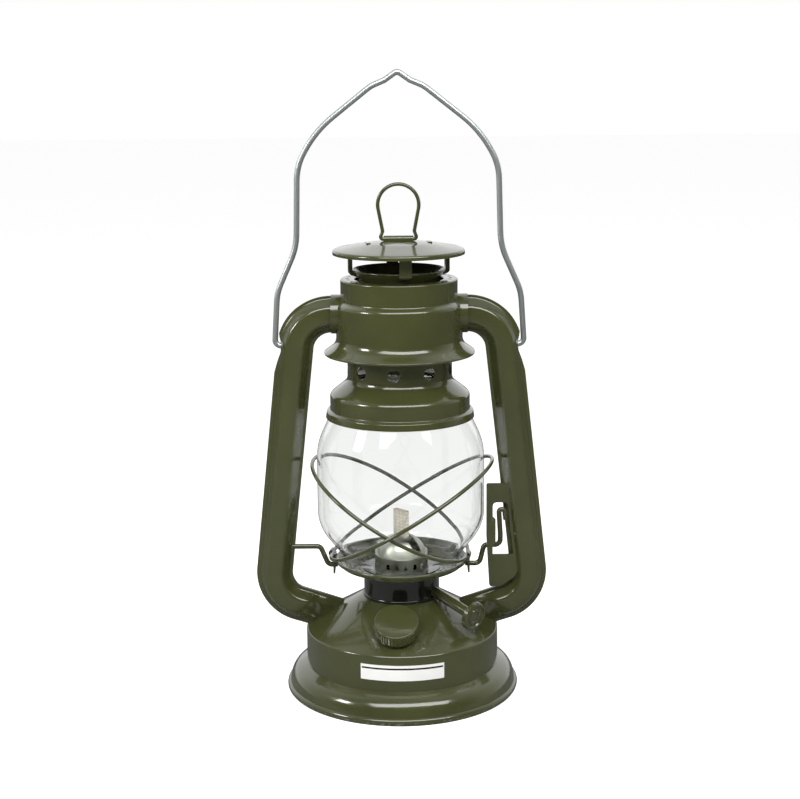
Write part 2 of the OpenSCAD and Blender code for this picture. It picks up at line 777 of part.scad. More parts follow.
module wick() {
  color("ivory") across_wick() translate([-wick_w / 2, -wick_t / 2, wick_low_z])
    cube([wick_w, wick_t, wick_top_z - wick_low_z]);
}

// Wick raiser
module knob_sleeve() {
  color(olive) difference() {
    on_shaft_axis() translate([0, 0, collar_r - 3]) difference() {
      cylinder(r = sleeve_r, h = sleeve_reach - collar_r + 3);
      translate([0, 0, -1]) cylinder(r = shaft_r + pin_gap, h = far);
    }
    turned_solid(fount_line);
  }
}

module wick_shaft() {
  tail = (wheel_pitch + wheel_t) / 2 + 0.6;
  color(tinplate) on_shaft_axis() translate([0, 0, -tail]) cylinder(r = shaft_r, h = tail + knob_reach - 1);
}

module feed_wheels() {
  teeth = [for (i = [0:2 * wheel_teeth - 1])
    (wheel_r - (i % 2) * 0.9) * [cos(i * 180 / wheel_teeth), sin(i * 180 / wheel_teeth)]];
  color(tinplate) on_shaft_axis() for (side = [-1, 1])
    translate([0, 0, side * wheel_pitch / 2 - wheel_t / 2]) difference() {
      linear_extrude(wheel_t) polygon(teeth);
      translate([0, 0, -1]) cylinder(r = shaft_r + fit_gap, h = wheel_t + 2);
    }
}

module wick_knob() {
  face = knob_reach;
  rim_r = knob_d / 2;
  knob_line = [
    [0, face - knob_t], [rim_r - 1.2, face - knob_t], [rim_r, face - knob_t + 0.8],
    [rim_r, face - 0.4], [rim_r - 0.5, face], [rim_r - 1.4, face], [rim_r - 1.9, face - 0.7],
    [rim_r - 3.1, face - 0.7], [rim_r - 3.5, face - 0.2], [rim_r - 4.5, face - 0.2],
    [rim_r - 4.9, face - 0.6], [0, face - 0.6]
  ];
  color(olive) on_shaft_axis() difference() {
    rotate_extrude() polygon(knob_line);
    translate([0, 0, face - knob_t - 1]) cylinder(r = shaft_r + fit_gap, h = knob_t);
  }
}

// Air tubes
module tube_body() {
  difference() {
    union() {
      along_route(tube_route) round_section(2 * tube_r);
      along_route(tube_route) flat_section(tube_w, seam_t);
    }
    along_route(tube_route) round_section(2 * tube_bore_r);
    turned_solid(chamber_line);
    turned_solid(fount_line);
    translate([tube_x(bail_z) + tube_r + run_gap + notch_r, 0, bail_z]) rotate([90, 0, 0])
      cylinder(r = notch_r, h = 2 * tube_r, center = true);
    translate([tube_x(bail_z), 0, bail_z]) rotate([0, 90, 0]) cylinder(r = bail_d / 2 + pin_gap, h = far);
  }
}

module left_air_tube() {
  color(olive) difference() {
    mirror([1, 0, 0]) tube_body();
    translate([0, 0, lift_axis_z]) rotate([0, -90, 0])
      cylinder(r = lift_wire_r + pin_gap, h = tube_x(lift_axis_z));
  }
}

module right_air_tube() {
  color(olive) tube_body();
}

module tube_ferrules() {
  color(olive) for (side = [0, 1]) mirror([side, 0, 0]) difference() {
    translate([0, 0, tube_top_z]) rotate([0, 90, 0]) cylinder(r = ferrule_r, h = ferrule_reach);
    translate([0, 0, tube_top_z]) rotate([0, 90, 0]) cylinder(r = tube_r, h = far);
    translate([0, -seam_t / 2, tube_top_z - tube_w / 2]) cube([far, seam_t, tube_w]);
    turned_solid(chamber_line);
  }
}

// Air chamber
chamber_line = rounded([
  [skirt_r - 0.3, skirt_z, 0],
  [skirt_r, skirt_z + 0.8, 0.4],
  [chamber_r, skirt_z + skirt_h, skirt_sweep],
  [chamber_r, chamber_step_z, chamber_step_round],
  [chamber_top_r, chamber_step_z + chamber_step_h, chamber_step_round / 2],
  [chamber_top_r, chamber_top_z - lid_h, 0]
]);

module air_chamber() {
  color(olive) difference() {
    turned_sheet(chamber_line);
    for (side = [0, 1]) mirror([side, 0, 0]) translate([0, 0, tube_top_z]) rotate([0, 90, 0])
      cylinder(r = tube_bore_r, h = far);
  }
}

chamber_lid_line = rounded([
  [chamber_top_r, chamber_top_z - lid_h, 0],
  [chamber_top_r, chamber_top_z, lid_round],
  [chamber_mouth_r, chamber_top_z, lid_round / 2],
  [chamber_mouth_r, chamber_top_z - mouth_lip, 0]
]);

module chamber_top() {
  color(olive) difference() {
    turned_sheet(chamber_lid_line);
    for (i = [0:chamber_holes - 1])
      rotate([0, 0, i * 360 / chamber_holes]) translate([(chamber_top_r + chamber_mouth_r) / 2, 0, chamber_top_z - 2])
        cylinder(d = chamber_hole_d, h = 4, $fn = 24);
  }
}

// Globe lever
slot_in_x = lever_plate_x + slot_in;
slot_tooth_x = slot_in_x + tooth_w;
slot_low_z = lift_axis_z - 1.5 * lift_wire_d;
slot_high_z = lift_axis_z + lever_h + lift_wire_d / 2;
tooth_low_z = lift_axis_z + 0.11 * lever_h;
tooth_high_z = lift_axis_z + 0.65 * lever_h;

// Where the front of the tube's body meets the lever plate at height z
function tube_edge_x(z) = tube_x(z) - sqrt(tube_r ^ 2 - (lever_plate_y + lever_plate_t / 2) ^ 2) / cos(tube_lean);

lever_outline = rounded([
  [lever_plate_x, (lever_plate_low + lever_plate_high) / 2, 0],
  [lever_plate_x + 1.6, lever_plate_low, 1.5],
  [lever_plate_x + 7, lever_plate_low, 4],
  [tube_edge_x(lever_plate_low + 5) - 2, lever_plate_low + 5, 3],
  [tube_edge_x(65) + 1.5, 65, 3],
  [tube_edge_x(75) + 1.5, 75, 0],
  [tube_edge_x(lever_plate_high) + 1.5, lever_plate_high, 0.6],
  [lever_plate_x, lever_plate_high, 1],
  [lever_plate_x, (lever_plate_low + lever_plate_high) / 2, 0]
]);

slot_outline = rounded([
  [slot_in_x, slot_low_z, 1],
  [tube_edge_x(slot_low_z) - strip_w, slot_low_z, 0.6],
  [tube_edge_x(slot_high_z) - strip_w, slot_high_z, 2],
  [slot_in_x, slot_high_z, 2],
  [slot_in_x, tooth_high_z + 1.6, 0.4],
  [slot_tooth_x, tooth_high_z, 0.4],
  [slot_tooth_x, tooth_low_z, 0.8],
  [slot_in_x, tooth_low_z - 2.4, 0.4],
  [slot_in_x, slot_low_z, 0]
]);

module lever_plate() {
  eye_x = crank_axis_x + run_gap;
  eye_l = slot_in_x - eye_x - 0.2;
  color(olive_lit) difference() {
    union() {
      translate([0, -lever_plate_y, 0]) rotate([90, 0, 0]) linear_extrude(lever_plate_t) polygon(lever_outline);
      translate([eye_x, 0, lift_axis_z]) rotate([0, 90, 0]) cylinder(r = eye_r, h = eye_l);
      translate([eye_x, -lever_plate_y, lift_axis_z - eye_r]) cube([eye_l, lever_plate_y, sheet * 2]);
    }
    translate([0, -lever_plate_y + 1, 0]) rotate([90, 0, 0]) linear_extrude(lever_plate_t + 2) polygon(slot_outline);
    translate([0, 0, lift_axis_z]) rotate([0, 90, 0]) cylinder(r = lift_wire_r + pin_gap, h = far);
    along_route(tube_route) round_section(2 * tube_r);
  }
}

// Route of the crank: from the globe plate's ear, up to the axis, then along it
crank_route = [
  [crank_end_x, crank_low_z, 0],
  [crank_x, crank_low_z, 3],
  [crank_x + crank_step, lift_axis_z, crank_bend_r],
  [lever_x - lever_bend_r, lift_axis_z, 0]
];
crank_tilt = atan2(crank_throw, crank_step);
crank_axis_x = crank_x + crank_step + crank_bend_r * tan(crank_tilt / 2);

// Moves of the lever: up from the axis, leaning forward, with a hook at its top
lever_moves = [
  [0.09 * lever_h, 1.3 * lever_h, 4, 0],
  [0.56 * lever_h, hook_r, -178, 0],
  [hook_l, 0, 0, 0]
];

module lift_lever() {
  crank = bends(crank_route);
  last = len(crank) - 1;
  up = [crank[last][0], lever_bend_r, 90, lever_lean];
  color(olive) translate([crank_end_x, 0, crank_low_z]) rotate([0, 90, 0])
    swept(concat([for (i = [0:last - 1]) crank[i]], [up], lever_moves)) round_section(lift_wire_d);
}

arm_route = [
  [crank_end_x, crank_low_z, 0],
  [crank_x - 2.5, crank_low_z, 3],
  [crank_x + 1.5, lift_axis_z, 3],
  [tube_x(lift_axis_z) - 4, lift_axis_z, 0]
];

module lift_arm() {
  color(olive) mirror([1, 0, 0]) wire(arm_route, lift_wire_d);
}

// Globe carriage
plate_line = rounded([
  [plate_hole_r, plate_z, 0],
  [plate_floor_r, plate_z, 1],
  [ledge_in_r, plate_z + ledge_rise, 0.6],
  [ledge_out_r, plate_z + ledge_rise, 1.5],
  [plate_r, plate_rim_z, 0]
]);

// A slotted ear under the rim for the crank, on the +X side
module lift_ear() {
  slot_r = lift_wire_r + run_gap;
  low = crank_low_z - crank_sag - slot_r;
  translate([plate_r, -ear_wall, plate_rim_z - 0.4]) cube([ear_x + ear_t - plate_r, 2 * ear_wall, 0.8]);
  translate([ear_x, -slot_r - ear_wall, low - ear_wall]) difference() {
    cube([ear_t, crank_swing + 2 * slot_r + 2 * ear_wall, plate_rim_z + 0.4 - low + ear_wall]);
    translate([-1, ear_wall, ear_wall]) cube([3, crank_swing + 2 * slot_r, crank_sag + 2 * slot_r]);
  }
}

// A clip on the rim that holds the low end of guard ring i, on the +X side
module guard_clip(i) {
  x = guard_low_x(i);
  z = guard_low_z(i);
  difference() {
    union() {
      translate([x, clip_l / 2, z]) rotate([90, 0, 0]) cylinder(r = clip_bore + clip_wall, h = clip_l);
      translate([x - 0.4, -clip_l / 2, plate_rim_z - 0.4]) cube([0.8, clip_l, z - plate_rim_z + 0.4 - clip_bore]);
      translate([plate_r, -clip_l / 2, plate_rim_z - 0.4]) cube([x + 0.4 - plate_r, clip_l, 0.8]);
    }
    translate([x, clip_l, z]) rotate([90, 0, 0]) cylinder(r = clip_bore, h = 2 * clip_l);
    translate([x - far, -clip_l, z - 0.4]) cube([far, 2 * clip_l, far]);
  }
}

module globe_plate() {
  color(olive) {
    difference() {
      rotate_extrude() {
        polygon(concat(plate_line, backwards(beside(plate_line, sheet))));
        translate([plate_r, plate_rim_z]) circle(d = plate_bead_d, $fn = 32);
      }
      for (ring = [0, 1], i = [0:plate_holes - 1])
        rotate([0, 0, (i + ring / 2) * 360 / plate_holes])
          translate([plate_hole_r + 1.9 + 2.5 * ring, 0, plate_z - 1]) cylinder(d = plate_hole_d, h = 3, $fn = 24);
    }
    for (side = [0, 1]) {
      mirror([side, 0, 0]) lift_ear();
      rotate([0, 0, guard_turn + side * 180]) guard_clip(side);
    }
  }
}

// Guard ring i, low on the +X side for ring 0 and on the -X side for ring 1
module guard_ring(i) {
  color(olive) rotate([0, 0, guard_turn + i * 180]) translate([-guard_off, 0, guard_z])
    rotate([0, guard_tilt, 0]) wire_ring(guard_ring_r(i), guard_wire_d);
}

module inner_guard_ring() {
  guard_ring(0);
}

module outer_guard_ring() {
  guard_ring(1);
}

glass_line = rounded([
  [glass_foot_r, glass_z, 0],
  [glass_foot_r, glass_z + glass_foot_h, 7],
  [glass_r + 0.1, glass_z + glass_low_shoulder, 22],
  [glass_r, glass_z + glass_high_shoulder, 34],
  [glass_mouth_r + 1.4, glass_top_z - 5.5, 10],
  [glass_mouth_r, glass_top_z, 0]
]);

module glass_globe() {
  color("white", 0.3) turned_sheet(glass_line, glass_t);
}

// Hood and chimney
hood_line = rounded([
  [hood_rim_r, hood_rim_z, 0],
  [hood_rim_r - 0.5, hood_band_low - 1, 0.8],
  [hood_band_r, hood_band_low, 0.6],
  [hood_band_r, hood_band_high, hood_round],
  [hood_neck_r, hood_cone_top, hood_sweep],
  [hood_neck_r, hood_neck_top, 0.8],
  [chimney_r - 1, hood_neck_top, 0]
]);

module hood() {
  color(olive) difference() {
    turned_sheet(hood_line);
    for (i = [0:neck_holes - 1])
      rotate([0, 0, -90 + neck_hole_turn + i * 360 / neck_holes])
        translate([hood_neck_r - 4, 0, neck_hole_z]) rotate([0, 90, 0]) cylinder(d = neck_hole_d, h = 8);
  }
}

crown_line = rounded([
  [chimney_r, chamber_top_z - 0.6, 0],
  [chimney_r + 2, chamber_top_z + 2.6, 3],
  [crown_rim_r, crown_rim_z, 0]
]);

module chimney() {
  color(tinplate) translate([0, 0, hood_neck_top]) difference() {
    cylinder(r = chimney_r, h = chamber_top_z - 0.6 - hood_neck_top);
    translate([0, 0, -1]) cylinder(r = chimney_r - sheet, h = far);
  }
}

// Points of the spring's wire and the least gap between its turns
spring_low = hood_neck_top + spring_wire_d / 2 + 0.1;
spring_high = chamber_top_z - sheet - spring_wire_d / 2 - 0.1;
spring_steps = 24 * spring_turns;
spring_gap = (spring_high - spring_low) / spring_turns - spring_wire_d;
echo(spring_gap = spring_gap);

module hood_spring() {
  sides = 6;
  points = [for (i = [0:spring_steps], j = [0:sides - 1])
    let (
      a = i * 360 * spring_turns / spring_steps,
      b = j * 360 / sides,
      r = spring_r + spring_wire_d / 2 * cos(b),
      z = spring_low + (spring_high - spring_low) * i / spring_steps + spring_wire_d / 2 * sin(b)
    )
    [r * cos(a), r * sin(a), z]];
  walls = [for (i = [0:spring_steps - 1], j = [0:sides - 1])
    let (p = i * sides, q = p + sides, k = (j + 1) % sides) each [[p + j, p + k, q + k], [p + j, q + k, q + j]]];
  last = spring_steps * sides;
  ends = [for (j = [1:sides - 2]) each [[0, j + 1, j], [last, last + j, last + j + 1]]];
  color("silver") polyhedron(points, concat(walls, ends));
}

module crown() {
  color(olive) {
    turned_sheet(crown_line);
    translate([0, 0, crown_rim_z]) wire_ring(crown_rim_r - sheet / 2, 1);
  }
}

cap_line = rounded([
  [cap_r, cap_edge_z, 0],
  [cap_r, cap_edge_z + cap_lip_h, 1.6],
  [tab_r, cap_top_z - cap_crown, 30],
  [lug_l / 2, cap_top_z, 12],
  [0, cap_top_z, 0]
]);

leg_line = rounded([
  [chimney_r - 1, leg_low_z, 0],
  [chimney_r + 1.6, leg_low_z + 0.6, 1],
  [leg_r, crown_rim_z - 1.6, 2],
  [leg_r, cap_top_z, 0]
]);

module crown_legs() {
  color(olive) difference() {
    for (i = [0:3])
      rotate([0, 0, i * 90 + leg_turn - leg_angle / 2])
        rotate_extrude(angle = leg_angle) polygon(concat(leg_line, backwards(beside(leg_line, leg_t))));
    turned_solid(crown_line);
    translate([0, 0, crown_rim_z]) wire_ring(crown_rim_r - sheet / 2, 1.1);
    cap_space();
  }
}

// The cap's sheet and all that lies above it
module cap_space() {
  under = beside(cap_line, sheet);
  rotate_extrude() polygon(concat(under, [[0, far], [cap_r - sheet, far]]));
}

module top_cap() {
  color(olive) turned_sheet(cap_line);
}

module cap_tabs() {
  tab_z = cap_top_z - cap_crown;
  color(olive) difference() {
    for (side = [0, 180])
      rotate([0, 0, leg_turn + side]) translate([tab_r - tab_l / 2, -tab_w / 2, tab_z - tab_h / 2]) cube([tab_l, tab_w, tab_h]);
    turned_solid(concat([[cap_r, 0]], cap_line));
  }
}

// Lift ring
module ring_lug() {
  color(olive) difference() {
    translate([-lug_l / 2, 0, ring_axis_z]) rotate([0, 90, 0]) union() {
      cylinder(r = lug_r, h = lug_l);
      translate([0, -lug_r - 0.8, 0]) cube([lug_r, 2 * lug_r + 1.6, lug_l]);
    }
    translate([-far, 0, ring_axis_z]) rotate([0, 90, 0]) cylinder(r = ring_wire_d / 2 + pin_gap, h = 2 * far);
    turned_solid(concat([[cap_r, 0]], cap_line));
  }
}

ring_route = [
  [lug_l / 2 - 3.4, ring_axis_z, 0],
  [ring_neck + 1.5, ring_axis_z, 1.2],
  [ring_neck, ring_axis_z + 4, 2],
  [ring_half_w + 1.9, ring_axis_z + ring_h, ring_half_w - 0.3]
];

module lift_ring() {
  color(olive) wire(both_sides(ring_route), ring_wire_d);
}

// Bail
bail_route = [
  [bail_stub_x, bail_z, 0],
  [bail_foot_x, bail_z, 3],
  [bail_foot_x - 0.036 * bail_waist_x, bail_z + 0.2 * bail_h, 0.5 * bail_waist_x],
  [1.018 * bail_waist_x, bail_z + 0.37 * bail_h, 0.7 * bail_waist_x],
  [0.996 * bail_waist_x, bail_z + 0.668 * bail_h, 0.56 * bail_waist_x],
  [0.807 * bail_waist_x, bail_z + 0.792 * bail_h, 1.1 * bail_waist_x],
  [0.26 * bail_waist_x, bail_z + 0.951 * bail_h, 0.28 * bail_waist_x],
  [0.124 * bail_waist_x, bail_z + 0.972 * bail_h, 0.12 * bail_waist_x],
  [0, bail_z + 1.004 * bail_h, 0.05 * bail_waist_x]
];
bail_mirror = [for (i = [len(bail_route) - 2:-1:0]) [-bail_route[i][0], bail_route[i][1], bail_route[i][2]]];

module bail() {
  color(galvanised) wire(concat(bail_route, bail_mirror), bail_d);
}

fount_foot();
fount_bottom();
fount_shell();
fill_label();
filler_neck();
filler_gasket();
filler_cap();
burner_collar();
burner_drum();
flame_cone();
wick_tube();
wick();
knob_sleeve();
wick_shaft();
feed_wheels();
wick_knob();
left_air_tube();
right_air_tube();
tube_ferrules();
air_chamber();
chamber_top();
lever_plate();
lift_lever();
lift_arm();
globe_plate();
inner_guard_ring();
outer_guard_ring();
glass_globe();
hood();
chimney();
hood_spring();
crown();
crown_legs();
top_cap();
cap_tabs();
ring_lug();
lift_ring();
bail();
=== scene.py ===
"""Finishes and studio for a tubular kerosene lantern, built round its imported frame."""

import json
import math

import bmesh
import bpy
from mathutils import Matrix, Vector

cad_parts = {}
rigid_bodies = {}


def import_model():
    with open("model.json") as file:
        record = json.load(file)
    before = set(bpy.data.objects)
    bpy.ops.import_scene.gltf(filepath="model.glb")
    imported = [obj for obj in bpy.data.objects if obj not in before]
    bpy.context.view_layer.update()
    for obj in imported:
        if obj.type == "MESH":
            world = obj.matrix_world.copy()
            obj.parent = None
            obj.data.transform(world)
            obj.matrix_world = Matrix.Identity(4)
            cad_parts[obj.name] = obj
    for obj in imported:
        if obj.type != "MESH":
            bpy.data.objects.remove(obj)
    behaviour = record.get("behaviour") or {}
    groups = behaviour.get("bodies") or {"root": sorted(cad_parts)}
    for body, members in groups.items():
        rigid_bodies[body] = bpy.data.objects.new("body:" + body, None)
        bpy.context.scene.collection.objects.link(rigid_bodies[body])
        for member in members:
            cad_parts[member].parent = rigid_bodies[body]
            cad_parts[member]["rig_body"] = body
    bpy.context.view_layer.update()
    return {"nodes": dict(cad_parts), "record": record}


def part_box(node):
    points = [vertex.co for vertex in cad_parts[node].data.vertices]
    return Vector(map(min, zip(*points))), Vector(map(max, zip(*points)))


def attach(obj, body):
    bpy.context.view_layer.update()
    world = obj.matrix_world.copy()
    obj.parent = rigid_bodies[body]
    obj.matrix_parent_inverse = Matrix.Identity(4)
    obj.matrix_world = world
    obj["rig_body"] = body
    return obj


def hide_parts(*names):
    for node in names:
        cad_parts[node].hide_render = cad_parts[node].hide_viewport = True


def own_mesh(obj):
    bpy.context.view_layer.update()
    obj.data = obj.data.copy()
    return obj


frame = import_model()
MM = 0.001
SLOT_OF = {row["node"]: row["material_slot"] for row in frame["record"]["subparts"]}

# Where the frame holds the tubes, the bail and the wick
TUBE_START = 29 * MM
TUBE_CORNER_LEVEL = 48.5 * MM
BAIL_LEVEL = 181 * MM
DOME_EDGE_LEVEL = 32.3 * MM
DOME_TOP_RADIUS = 20.8 * MM
WICK_TURN = math.radians(45.8)

bl_info = {
    "name": "Kerosene lantern",
    "version": (1, 0, 0),
    "blender": (4, 5, 0),
    "location": "3D View > Sidebar > Lantern",
    "description": "Dresses the lantern's frame in enamel, tinplate, wire and glass, in a white studio",
    "category": "Object",
}


def linear(code):
    """The linear colour of an sRGB hex value."""
    parts = [int(code[i : i + 2], 16) / 255 for i in (1, 3, 5)]
    return [c / 12.92 if c <= 0.04045 else ((c + 0.055) / 1.055) ** 2.4 for c in parts]


def colour_setting(name, description, code):
    """A colour property whose default is an sRGB hex value."""
    return bpy.props.FloatVectorProperty(
        name=name, description=description, subtype="COLOR", size=3, min=0, max=1, default=linear(code)
    )


def number_setting(name, description, value, **options):
    """A number property."""
    return bpy.props.FloatProperty(name=name, description=description, default=value, **options)


def length_setting(name, description, size):
    """A length property in metres whose default is given in millimetres."""
    return number_setting(name, description, size * MM, unit="LENGTH", min=0)


def angle_setting(name, description, size):
    """An angle property whose default is given in degrees."""
    return number_setting(name, description, math.radians(size), subtype="ANGLE")


class LanternFinish(bpy.types.PropertyGroup):
    """Colours of the lantern's finishes."""

    olive: colour_setting("Olive enamel", "Gloss enamel on the pressed steel", "#424526")
    black: colour_setting("Burner collar", "Dark enamel on the burner's collar", "#1b1d18")
    tin: colour_setting("Tinplate", "Dull tinned steel of the burner", "#b4b6ac")
    zinc: colour_setting("Galvanised wire", "Zinc on the bail", "#717c79")
    cotton: colour_setting("Wick", "Unbleached cotton of the wick", "#dcd6c6")
    film: colour_setting("Label", "White film of the label", "#f4f4f0")
    ink: colour_setting("Fill line", "Printed line on the label", "#1c1c1c")
    glass: colour_setting("Glass", "Tint of the globe", "#fdfefd")


class LanternSizes(bpy.types.PropertyGroup):
    """Sizes of the pieces that are modelled here; the rest come from the frame."""

    tube_depth: length_setting("Tube depth", "From the tube's middle to its flat front", 6.8)
    tube_flat: length_setting("Tube flat", "Width of the tube's flat front", 8.4)
    tube_width: length_setting("Tube width", "Over the two seams", 18.7)
    seam: length_setting("Seam", "Thickness of the folded seam", 1.6)
    top_bend: length_setting("Top bend", "Radius of the tube's upper bend", 18.5)
    low_bend: length_setting("Lower bend", "Radius of the tube's lower bend", 18)
    tube_level: length_setting("Top run", "Height of the tube's top run", 197)
    tube_foot: length_setting("Tube foot", "Distance of the tube's lower corner from the axis", 67.605)
    lean: angle_setting("Lean", "Lean of the tube from upright", 6.35)
    fall: angle_setting("Fall", "Fall of the lower run to the fount", 18)
    pinch: length_setting("Pinch", "Length over which the lower end is pressed flat", 13)
    line_height: length_setting("Fill line", "Height of the printed line", 26.2)
    line_width: length_setting("Fill line width", "Thickness of the printed line", 0.9)
    line_length: length_setting("Fill line length", "From end to end", 40.6)


class LanternStudio(bpy.types.PropertyGroup):
    """Camera and light of the studio."""

    distance: length_setting("Camera distance", "From the camera to the lantern's axis", 800)
    height: length_setting("Camera height", "Height of the camera over the floor", 322.9)
    pitch: angle_setting("Pitch", "Downward tilt of the camera", 12.02)
    roll: angle_setting("Roll", "Turn of the picture", -0.53)
    lens: number_setting("Lens", "Focal length in millimetres", 72.1, min=10)
    room: number_setting("Room", "Brightness of the room round the lantern", 0.16)
    front: number_setting("Front", "Brightness that gloss reflects from the front", 0.04)
    key: number_setting("Key light", "Power of the top softbox", 11, unit="POWER")
    fill: number_setting("Fill light", "Power of the left softbox", 3, unit="POWER")


# Finishes


def add_node(tree, kind, inputs=None, **settings):
    """Adds a node with its settings and returns its outputs.

    An input is a value, or another node's output to link.
    """
    made = tree.nodes.new(kind)
    for key, value in settings.items():
        setattr(made, key, value)
    for key, value in (inputs or {}).items():
        if isinstance(value, bpy.types.NodeSocket):
            tree.links.new(value, made.inputs[key])
        else:
            made.inputs[key].default_value = value
    return made.outputs


def every(size):
    """Texture scale of a pattern about size millimetres wide, on Object coordinates in metres."""
    return 1 / (size * MM)


def tone(colour, share=1):
    """A colour made darker or lighter, with full alpha."""
    return (*[min(1, c * share) for c in colour], 1)


def start_finish(name, **values):
    """A new material: its tree, its Principled shader with these values, and Object coordinates."""
    material = bpy.data.materials.new(name)
    material.use_nodes = True
    tree = material.node_tree
    shader = tree.nodes["Principled BSDF"]
    for key, value in values.items():
        shader.inputs[key.replace("_", " ")].default_value = value
    return tree, shader, add_node(tree, "ShaderNodeTexCoord")["Object"]


def feed(tree, shader, **outputs):
    """Links outputs to the shader's sockets of these names."""
    for key, value in outputs.items():
        tree.links.new(value, shader.inputs[key.replace("_", " ")])


# Gloss enamel, sprayed and baked on pressed steel: an even colour with slow drifts where it lies thicker,
# bright highlights broken by orange peel, dust nibs, and scuffs along the lowest edge where it stands.
def enamel(name, colour, roughness):
    tree, shader, place = start_finish(name, IOR=1.5, Coat_Weight=0.8, Coat_Roughness=0.08)
    drift = add_node(tree, "ShaderNodeTexNoise", {"Vector": place, "Scale": every(30), "Detail": 3})[0]
    thick = add_node(tree, "ShaderNodeMapRange", {"Value": drift, "From Min": 0.3, "From Max": 0.7})[0]
    shades = {"Factor": thick, "A": tone(colour, 0.88), "B": tone(colour, 1.12)}
    paint = add_node(tree, "ShaderNodeMix", shades, data_type="RGBA")["Result"]
    height = add_node(tree, "ShaderNodeSeparateXYZ", {"Vector": place})["Z"]
    edge = {"Value": height, "From Min": 2.2 * MM, "From Max": 0.2 * MM}
    low = add_node(tree, "ShaderNodeMapRange", edge)[0]
    wear = add_node(tree, "ShaderNodeTexNoise", {"Vector": place, "Scale": every(2.5), "Detail": 5})[0]
    patch = add_node(tree, "ShaderNodeMapRange", {"Value": wear, "From Min": 0.52, "From Max": 0.62})[0]
    scuff = add_node(tree, "ShaderNodeMath", {0: low, 1: patch}, operation="MULTIPLY")[0]
    bare = {"Factor": scuff, "A": paint, "B": tone(linear("#7c7c76"))}
    worn = add_node(tree, "ShaderNodeMix", bare, data_type="RGBA")["Result"]
    smear = add_node(tree, "ShaderNodeTexNoise", {"Vector": place, "Scale": every(9), "Detail": 4})[0]
    gloss = {"Value": smear, "From Min": 0.3, "From Max": 0.7}
    gloss |= {"To Min": roughness * 0.75, "To Max": roughness * 1.3}
    shine = add_node(tree, "ShaderNodeMapRange", gloss)[0]
    dull = add_node(tree, "ShaderNodeMath", {0: scuff, 1: 0.4, 2: shine}, operation="MULTIPLY_ADD")[0]
    peel = add_node(tree, "ShaderNodeTexNoise", {"Vector": place, "Scale": every(1.6), "Detail": 1})[0]
    dust = add_node(tree, "ShaderNodeTexNoise", {"Vector": place, "Scale": every(0.9), "Detail": 0})[0]
    specks = {"Value": dust, "From Min": 0.76, "From Max": 0.84, "To Max": 0.6}
    nib = add_node(tree, "ShaderNodeMapRange", specks)[0]
    skin = add_node(tree, "ShaderNodeMath", {0: peel, 1: nib}, operation="ADD")[0]
    bump = add_node(tree, "ShaderNodeBump", {"Height": skin, "Strength": 0.2, "Distance": 0.15 * MM})[0]
    feed(tree, shader, Base_Color=worn, Roughness=dull, Normal=bump)


# Dull tinplate: rolled steel with a thin tin coat, grey and cloudy, its gloss broken by fine rolling marks.
def tinplate(name, colour, roughness, patch):
    tree, shader, place = start_finish(name, Metallic=1.0)
    clouds = {"Vector": place, "Scale": every(patch), "Detail": 4}
    spangle = add_node(tree, "ShaderNodeTexNoise", clouds)[0]
    cloudy = add_node(tree, "ShaderNodeMapRange", {"Value": spangle, "From Min": 0.3, "From Max": 0.7})[0]
    shades = {"Factor": cloudy, "A": tone(colour, 0.8), "B": tone(colour, 1.1)}
    grey = add_node(tree, "ShaderNodeMix", shades, data_type="RGBA")["Result"]
    gloss = {"Value": cloudy, "To Min": roughness * 0.75, "To Max": roughness * 1.3}
    shine = add_node(tree, "ShaderNodeMapRange", gloss)[0]
    long_way = add_node(tree, "ShaderNodeMapping", {"Vector": place, "Scale": (1, 1, 0.08)})[0]
    rolled = {"Vector": long_way, "Scale": every(0.5), "Detail": 2}
    marks = add_node(tree, "ShaderNodeTexNoise", rolled)[0]
    bump = add_node(tree, "ShaderNodeBump", {"Height": marks, "Strength": 0.06, "Distance": 0.05 * MM})[0]
    feed(tree, shader, Base_Color=grey, Roughness=shine, Normal=bump)


# Galvanised wire: drawn steel dipped in zinc, pale with blue-grey blotches of a few millimetres.
def zinc_wire(colour):
    tree, shader, place = start_finish("galvanised_wire", Metallic=1.0)
    blotch = add_node(tree, "ShaderNodeTexVoronoi", {"Vector": place, "Scale": every(3)})["Color"]
    each = add_node(tree, "ShaderNodeSeparateXYZ", {"Vector": blotch})["X"]
    shades = {"Factor": each, "A": tone(colour, 0.72), "B": tone(colour, 1.1)}
    grey = add_node(tree, "ShaderNodeMix", shades, data_type="RGBA")["Result"]
    smear = add_node(tree, "ShaderNodeTexNoise", {"Vector": place, "Scale": every(4), "Detail": 3})[0]
    gloss = {"Value": smear, "From Min": 0.3, "From Max": 0.7, "To Min": 0.24, "To Max": 0.42}
    shine = add_node(tree, "ShaderNodeMapRange", gloss)[0]
    lumps = add_node(tree, "ShaderNodeTexNoise", {"Vector": place, "Scale": every(1.2), "Detail": 2})[0]
    bump = add_node(tree, "ShaderNodeBump", {"Height": lumps, "Strength": 0.05, "Distance": 0.08 * MM})[0]
    feed(tree, shader, Base_Color=grey, Roughness=shine, Normal=bump)


